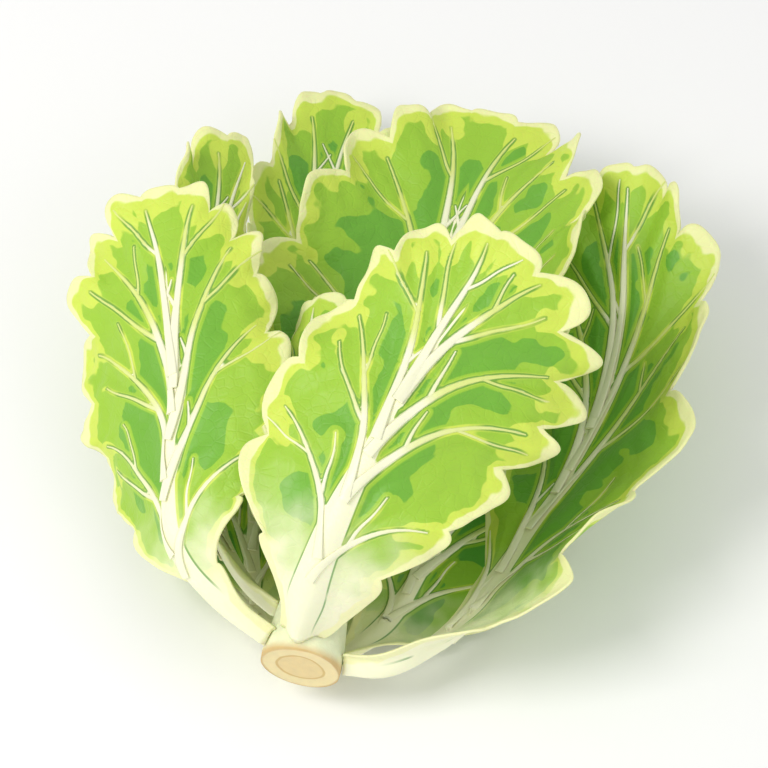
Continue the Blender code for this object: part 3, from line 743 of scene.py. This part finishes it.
def bladeGroup():
    tree = bpy.data.node_groups.new("leafBladePaint", "ShaderNodeTree")
    for name, kind in (("Light", "NodeSocketColor"), ("Mid", "NodeSocketColor"),
                       ("Deep", "NodeSocketColor"), ("RimHighlight", "NodeSocketColor"),
                       ("Rib", "NodeSocketColor"), ("CreaseShade", "NodeSocketColor"),
                       ("Shade", "NodeSocketFloat"), ("Shift", "NodeSocketVector")):
        tree.interface.new_socket(name, in_out="INPUT", socket_type=kind)
    for name, kind in (("Colour", "NodeSocketColor"), ("Roughness", "NodeSocketFloat"),
                       ("Height", "NodeSocketFloat")):
        tree.interface.new_socket(name, in_out="OUTPUT", socket_type=kind)
    given, put = tree.nodes.new("NodeGroupInput"), tree.nodes.new("NodeGroupOutput")
    get = given.outputs
    vein, rim, along = (field(tree, n) for n in ("veinOff", "rimOff", "along"))
    blotch = noise(tree, paintMake["blotchScale"], 1.5, get["Shift"])
    patch = noise(tree, paintMake["patchScale"], 1.0, get["Shift"])
    fine = noise(tree, paintMake["grainScale"])
    # the green between the veins, in rounded patches that stop short of the margin
    petal = maths(tree, "ADD", rim, maths(tree, "MULTIPLY", maths(tree, "MINIMUM", vein, 6.0), 1.7))
    edge, start = centred(tree, patch, paintMake["patchSpread"]), paintMake["midFrom"]
    middle = smooth(tree, maths(tree, "ADD", petal, edge), start, start + 1.1)
    middle = maths(tree, "MULTIPLY", middle, smooth(tree, vein, 0.6, 1.1))
    # deep green patches in the heart of the blade: a random pattern, grown larger on the more
    # shaded leaves as painted shade
    drift, start = centred(tree, blotch, paintMake["blotchSpread"]), paintMake["deepFrom"]
    darker = maths(tree, "MULTIPLY", get["Shade"], paintMake["shadeSpread"])
    drift = maths(tree, "ADD", drift, darker)
    inner = smooth(tree, maths(tree, "ADD", petal, drift), start, start + 1.5)
    inner = maths(tree, "MULTIPLY", inner, smooth(tree, vein, 1.5, 2.3))
    made = blend(tree, middle, get["Light"], get["Mid"])
    made = blend(tree, maths(tree, "MULTIPLY", inner, middle), made, get["Deep"])
    # pale foot, cream rim as a painted highlight, dark line of painted shade beside each vein,
    # cream veins
    low = maths(tree, "ADD", along, centred(tree, patch, paintMake["footSpread"]))
    made = blend(tree, smooth(tree, low, 0.36, 0.08), made, get["Rib"])
    # a painted highlight: a cream band along the whole margin
    edge = maths(tree, "ADD", rim, centred(tree, patch, paintMake["rimHighlightSpread"]))
    pale = smooth(tree, edge, paintMake["rimHighlightWidth"], paintMake["rimHighlightWidth"] - 1.2)
    made = blend(tree, maths(tree, "MULTIPLY", pale, paintMake["rimHighlightStrength"]), made, get["RimHighlight"])
    # painted shade: a dark green line along the edges of the veins, broken by the blotch noise
    creaseShade = maths(tree, "ABSOLUTE", maths(tree, "SUBTRACT", vein, paintMake["creaseShadeAt"]))
    creaseShade = maths(tree, "MULTIPLY", smooth(tree, creaseShade, 0.65, 0.15), smooth(tree, rim, 5.0, 12.0))
    creaseShade = maths(tree, "MULTIPLY", creaseShade, smooth(tree, blotch, 0.36, 0.5))
    creaseShade = maths(tree, "MULTIPLY", creaseShade, paintMake["creaseShadeStrength"])
    made = blend(tree, creaseShade, made, get["CreaseShade"])
    made = blend(tree, smooth(tree, vein, 0.2, -0.2), made, get["Rib"])
    tint = tree.nodes.new("ShaderNodeHueSaturation")
    wire(tree, made, tint.inputs["Color"])
    value = ranged(tree, blotch, 0.93, 0.12)
    wire(tree, ranged(tree, fine, value, 0.04), tint.inputs["Value"])
    wire(tree, tint.outputs[0], put.inputs["Colour"])
    wire(tree, ranged(tree, fine, 0.34, 0.22), put.inputs["Roughness"])
    cells = tree.nodes.new("ShaderNodeTexVoronoi")
    cells.feature = "DISTANCE_TO_EDGE"
    cells.inputs["Scale"].default_value = paintMake["netScale"]
    wire(tree, tree.nodes.new("ShaderNodeTexCoord").outputs["Object"], cells.inputs["Vector"])
    net = maths(tree, "MULTIPLY", smooth(tree, cells.outputs["Distance"], 0.0, 0.12),
                smooth(tree, vein, 0.0, 2.0))
    wire(tree, maths(tree, "ADD", maths(tree, "MULTIPLY", net, 0.4),
                     maths(tree, "MULTIPLY", fine, 0.5)), put.inputs["Height"])
    return tree


def newMaterial(name):
    material = bpy.data.materials.new(name)
    material.use_nodes = True
    tree = material.node_tree
    return material, tree, tree.nodes["Principled BSDF"]


def addBump(tree, shader, height, strength, distance):
    bump = tree.nodes.new("ShaderNodeBump")
    bump.inputs["Strength"].default_value = strength
    bump.inputs["Distance"].default_value = distance
    wire(tree, height, bump.inputs["Height"])
    wire(tree, bump.outputs["Normal"], shader.inputs["Normal"])


def scatter(shader, weight, radius):
    shader.inputs["Subsurface Weight"].default_value = weight
    shader.inputs["Subsurface Radius"].default_value = radius
    shader.inputs["Subsurface Scale"].default_value = 0.002


def mixed(a, b, share):
    return tuple(p + (q - p) * share for p, q in zip(a, b))


def leafMaterial(name, leaf, group):
    material, tree, shader = newMaterial(name + "_skin")
    paint = tree.nodes.new("ShaderNodeGroup")
    paint.node_tree = group
    # painted shade: the leaf's shade value darkens its light, mid and deep greens, the deep one
    # towards teal
    shadeDepth = leaf["shadeDepth"]
    for socket, value in (
        ("Light", mixed(shades["light"], shades["mid"], max(0, shadeDepth - 0.35))),
        ("Mid", mixed(shades["mid"], shades["deep"], shadeDepth * 0.7)),
        ("Deep", mixed(shades["deep"], shades["shadeTeal"], shadeDepth * 0.8)),
        ("RimHighlight", shades["cream"]),
        ("Rib", shades["rib"]),
        ("CreaseShade", shades["creaseShade"]),
        ("Shade", shadeDepth),
        ("Shift", (leaf["phase"], leaf["azimuth"] * 0.01, shadeDepth)),
    ):
        paint.inputs[socket].default_value = value
    wire(tree, paint.outputs["Colour"], shader.inputs["Base Color"])
    wire(tree, paint.outputs["Roughness"], shader.inputs["Roughness"])
    addBump(tree, shader, paint.outputs["Height"], 0.35, 0.0006)
    scatter(shader, 0.12, (0.5, 1.0, 0.2))
    shader.inputs["Specular IOR Level"].default_value = 0.35
    return material


def veinMaterial(name, leaf):
    material, tree, shader = newMaterial(name + "_vein")
    # the vein tips turn greener on the leaves with more painted shade
    tip = mixed(shades["cream"], shades["light"], 0.55 + 0.3 * leaf["shadeDepth"])
    grain = noise(tree, 420.0)
    along = smooth(tree, field(tree, "veinAge"), 0.15, 0.75)
    wire(tree, blend(tree, along, shades["rib"], tip), shader.inputs["Base Color"])
    wire(tree, ranged(tree, grain, 0.33, 0.2), shader.inputs["Roughness"])
    addBump(tree, shader, grain, 0.2, 0.0004)
    scatter(shader, 0.1, (0.8, 1.0, 0.4))
    return material


def veinTree():
    # sweeps a flat oval along each vein's points; its size comes from the points themselves
    tree = bpy.data.node_groups.new("leafVeins", "GeometryNodeTree")
    tree.interface.new_socket("Geometry", in_out="INPUT", socket_type="NodeSocketGeometry")
    for name, kind in (("Flatness", "NodeSocketFloat"), ("Sides", "NodeSocketInt"),
                       ("Finish", "NodeSocketMaterial")):
        tree.interface.new_socket(name, in_out="INPUT", socket_type=kind)
    tree.interface.new_socket("Geometry", in_out="OUTPUT", socket_type="NodeSocketGeometry")
    add = tree.nodes.new
    given, put = add("NodeGroupInput"), add("NodeGroupOutput")
    curve, normal, sweep = (add("GeometryNodeMeshToCurve"), add("GeometryNodeSetCurveNormal"),
                            add("GeometryNodeCurveToMesh"))
    normal.mode = "FREE"
    up, radius = add("GeometryNodeInputNamedAttribute"), add("GeometryNodeInputNamedAttribute")
    up.data_type, radius.data_type = "FLOAT_VECTOR", "FLOAT"
    up.inputs["Name"].default_value, radius.inputs["Name"].default_value = "veinUp", "veinRadius"
    ring, flat, stretch = (add("GeometryNodeCurvePrimitiveCircle"), add("GeometryNodeTransform"),
                           add("ShaderNodeCombineXYZ"))
    ring.inputs["Radius"].default_value = 1.0
    stretch.inputs["Y"].default_value = stretch.inputs["Z"].default_value = 1.0
    wire(tree, given.outputs["Flatness"], stretch.inputs["X"])
    wire(tree, given.outputs["Sides"], ring.inputs["Resolution"])
    wire(tree, ring.outputs[0], flat.inputs["Geometry"])
    wire(tree, stretch.outputs[0], flat.inputs["Scale"])
    wire(tree, given.outputs["Geometry"], curve.inputs["Mesh"])
    wire(tree, curve.outputs[0], normal.inputs["Curve"])
    wire(tree, up.outputs["Attribute"], normal.inputs["Normal"])
    wire(tree, normal.outputs[0], sweep.inputs["Curve"])
    wire(tree, flat.outputs[0], sweep.inputs["Profile Curve"])
    wire(tree, radius.outputs["Attribute"], sweep.inputs["Scale"])
    sweep.inputs["Fill Caps"].default_value = True
    soft, real, finish = (add("GeometryNodeSetShadeSmooth"), add("GeometryNodeRealizeInstances"),
                          add("GeometryNodeSetMaterial"))
    wire(tree, sweep.outputs[0], soft.inputs["Geometry"])
    wire(tree, soft.outputs[0], real.inputs["Geometry"])
    wire(tree, real.outputs[0], finish.inputs["Geometry"])
    wire(tree, given.outputs["Finish"], finish.inputs["Material"])
    wire(tree, finish.outputs[0], put.inputs["Geometry"])
    return tree


def socketName(tree, name):
    return next(i.identifier for i in tree.interface.items_tree
                if i.name == name and i.in_out == "INPUT")


def buildVeins(name, paths, material, tree):
    spots, edges, ups, radii, ages = [], [], [], [], []
    for rows in paths:
        for face in (0, 1):
            first = len(spots)
            for k, row in enumerate(rows):
                # the ridges lie half sunk in the outer face, and lower in the inner one
                outer, inner, normal, (radius, age, sunk) = row[:3], row[3:6], row[6:9], row[9:]
                sink = veinMake["endSink"] * veinMake["flatness"] * sunk
                sink = (veinMake["innerSink"] * face + sink) * radius
                spot = inner + normal * sink if face else outer - normal * sink
                spot[2] = max(spot[2], radius * veinMake["flatness"] + 0.1)
                spots.append(spot)
                ups.append(normal)
                radii.append(radius * (veinMake["innerSize"] if face else 1.0))
                ages.append(age)
                if k:
                    edges.append((first + k - 1, first + k))
    mesh = bpy.data.meshes.new(name + "_paths")
    mesh.from_pydata([tuple(p * mm) for p in spots], edges, [])
    for key, kind, values in (("veinUp", "FLOAT_VECTOR", np.array(ups).ravel()),
                              ("veinRadius", "FLOAT", np.array(radii) * mm),
                              ("veinAge", "FLOAT", np.array(ages))):
        mesh.attributes.new(key, kind, "POINT").data.foreach_set(
            "vector" if kind == "FLOAT_VECTOR" else "value", values.astype(np.float32))
    source = bpy.data.objects.new(name + "_paths", mesh)
    bpy.context.scene.collection.objects.link(source)
    modifier = source.modifiers.new("veins", "NODES")
    modifier.node_group = tree
    modifier[socketName(tree, "Flatness")] = veinMake["flatness"]
    modifier[socketName(tree, "Sides")] = veinMake["sides"]
    modifier[socketName(tree, "Finish")] = material
    graph = bpy.context.evaluated_depsgraph_get()
    result = bpy.data.meshes.new_from_object(source.evaluated_get(graph), depsgraph=graph)
    bpy.data.objects.remove(source)
    result.name = name
    made = bpy.data.objects.new(name, result)
    bpy.context.scene.collection.objects.link(made)
    return made


stemMake = {
    "sides": 96,
    "rows": 26,
    "cutRings": 14,        # rings of the cut face
    "innerRing": 0.04,     # the smallest of them, as a share of the radius
    "dish": 0.36,          # how far the cut face is hollowed
    "cutWave": 0.18,
    "edgeDrop": 0.35,      # how far the cut face's edge is drawn in
    "furrow": 0.25,        # depth of the furrows down the side
}


def stemPiece(material):
    spots, faces, cut, heights = [], [], [], []
    sides = stemMake["sides"]
    slope = math.tan(math.radians(head["cutTilt"]))
    profile = [(r, 0.0) for r in np.linspace(stemMake["innerRing"], 1.0, stemMake["cutRings"])]
    profile += [(1.0, h) for h in np.linspace(0.0, 1.0, stemMake["rows"])[1:]]
    for share, h in profile:
        height = head["stemLength"] * h
        radius = float(stemRadius(height))
        for j in range(sides):
            a = 2 * math.pi * j / sides
            offset = front * math.cos(a) + right * math.sin(a)
            size, lift = radius * share, height
            if h == 0.0:
                lift = size * math.cos(a) * slope + stemMake["dish"] * (1 - share**2)
                lift += stemMake["cutWave"] * math.sin(13.2 * share + 2 * a) * share
                if share > 0.93:
                    size -= stemMake["edgeDrop"]
            elif h < 0.9:
                size -= stemMake["furrow"] * abs(math.sin(5 * a + 9 * h))
            spots.append(stemFoot + axis * lift + offset * size)
            cut.append(share if h == 0.0 else 1.0)
            heights.append(h)
    for r in range(len(profile) - 1):
        for j in range(sides):
            m = (j + 1) % sides
            faces.append((r * sides + j, r * sides + m, (r + 1) * sides + m, (r + 1) * sides + j))
    top = (len(profile) - 1) * sides
    centre = len(spots)
    spots.append(stemFoot + axis * stemMake["dish"])
    spots.append(stemFoot + axis * head["stemLength"])
    cut += [0.0, 1.0]
    heights += [0.0, 1.0]
    for j in range(sides):
        m = (j + 1) % sides
        faces.append((m, j, centre))
        faces.append((top + j, top + m, centre + 1))
    return meshObject("stem_cut", np.array(spots), faces, material,
                      {"cutShare": cut, "stemHeight": heights})


stemColours = {
    "core": "EBD49B", "flesh": "F1E0AA", "ring": "D9BC79", "edge": "C9A561", "side": "EEF2CC",
}


def stemMaterial():
    material, tree, shader = newMaterial("cut_stem_skin")
    share, height = field(tree, "cutShare"), field(tree, "stemHeight")
    grain = noise(tree, 260.0, 3.0)
    soft = noise(tree, 90.0, 2.0)
    moved = maths(tree, "ADD", share, centred(tree, soft, 0.12))
    core, flesh, ring, edge, side = (colour(stemColours[n])
                                     for n in ("core", "flesh", "ring", "edge", "side"))
    made = blend(tree, smooth(tree, moved, 0.56, 0.6), core, flesh)
    near = maths(tree, "ABSOLUTE", maths(tree, "SUBTRACT", moved, 0.58))
    made = blend(tree, smooth(tree, near, 0.05, 0.015), made, ring)
    made = blend(tree, maths(tree, "MULTIPLY", smooth(tree, moved, 0.9, 1.0), 0.7), made, edge)
    made = blend(tree, smooth(tree, height, 0.02, 0.09), made, side)
    tint = tree.nodes.new("ShaderNodeHueSaturation")
    wire(tree, made, tint.inputs["Color"])
    wire(tree, ranged(tree, grain, 0.9, 0.2), tint.inputs["Value"])
    wire(tree, tint.outputs[0], shader.inputs["Base Color"])
    wire(tree, ranged(tree, grain, 0.5, 0.25), shader.inputs["Roughness"])
    addBump(tree, shader, grain, 0.5, 0.0008)
    scatter(shader, 0.1, (1.0, 0.2, 0.1))
    return material


view = {
    "elevation": 54.0,
    "distance": 2000.0,
    "perPixel": 0.4,            # millimetres at the cut face
    "footPixel": (300, 668),    # where the photograph has the centre of the cut face
    "pixels": 768,
}


def addCamera():
    tilt = math.radians(view["elevation"])
    back = np.array([0.0, -math.cos(tilt), math.sin(tilt)])
    sideways = np.array([1.0, 0.0, 0.0])
    up = np.cross(back, sideways)
    half = view["pixels"] / 2
    target = stemFoot + sideways * (half - view["footPixel"][0]) * view["perPixel"]
    target = target + up * (view["footPixel"][1] - half) * view["perPixel"]
    data = bpy.data.cameras.new("camera")
    camera = bpy.data.objects.new("camera", data)
    camera.location = (target + back * view["distance"]) * mm
    camera.rotation_euler = (math.pi / 2 - tilt, 0.0, 0.0)
    data.lens = data.sensor_width * view["distance"] / (view["pixels"] * view["perPixel"])
    data.clip_start, data.clip_end = 0.05, 50.0
    bpy.context.scene.collection.objects.link(camera)
    bpy.context.scene.camera = camera


# places and sizes in metres; every light looks at the origin
lights = {
    "key": dict(place=(-0.75, -0.35, 1.1), size=0.6, power=8.6, tint=(1.0, 0.985, 0.95)),
    "fill": dict(place=(1.0, -0.8, 0.8), size=1.2, power=3.0, tint=(0.95, 0.98, 1.0)),
}
skyStrength = 0.66


def addLight(name, place, size, power, tint):
    data = bpy.data.lights.new(name, "AREA")
    data.energy, data.size, data.color = power, size, tint
    lamp = bpy.data.objects.new(name, data)
    lamp.location = place
    lamp.rotation_mode = "QUATERNION"
    lamp.rotation_quaternion = (-Vector(place)).to_track_quat("-Z", "Y")
    bpy.context.scene.collection.objects.link(lamp)


def addFloor():
    mesh = bpy.data.meshes.new("floor")
    mesh.from_pydata([(-6, -6, 0), (6, -6, 0), (6, 6, 0), (-6, 6, 0)], [], [(0, 1, 2, 3)])
    material, _, shader = newMaterial("pale_floor")
    shader.inputs["Base Color"].default_value = (0.97, 0.97, 0.97, 1.0)
    shader.inputs["Roughness"].default_value = 0.9
    mesh.materials.append(material)
    floor = bpy.data.objects.new("floor", mesh)
    bpy.context.scene.collection.objects.link(floor)


addCamera()
addFloor()
for lampName, lamp in lights.items():
    addLight(lampName, **lamp)
world = bpy.data.worlds.new("studio")
bpy.context.scene.world = world
world.use_nodes = True
world.node_tree.nodes["Background"].inputs["Color"].default_value = (1.0, 1.0, 1.0, 1.0)
world.node_tree.nodes["Background"].inputs["Strength"].default_value = skyStrength
bpy.context.scene.view_settings.view_transform = "Standard"
print("stage ready")

paintGroup, ridgeTree = bladeGroup(), veinTree()
for leafName, leaf in leaves.items():
    spots, quads, fields, paths = buildLeaf(leafName, leaf)
    skin = leafMaterial(leafName, leaf, paintGroup)
    blade = meshObject(leafName + "_blade", spots, quads, skin, fields)
    ridges = buildVeins(leafName + "_veins", paths, veinMaterial(leafName, leaf), ridgeTree)
    for piece in (blade, ridges):
        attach(piece, "root")
    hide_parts(leafName)
print("leaves made")

stem = stemPiece(stemMaterial())
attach(stem, "root")
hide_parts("stem")
print("stem made")
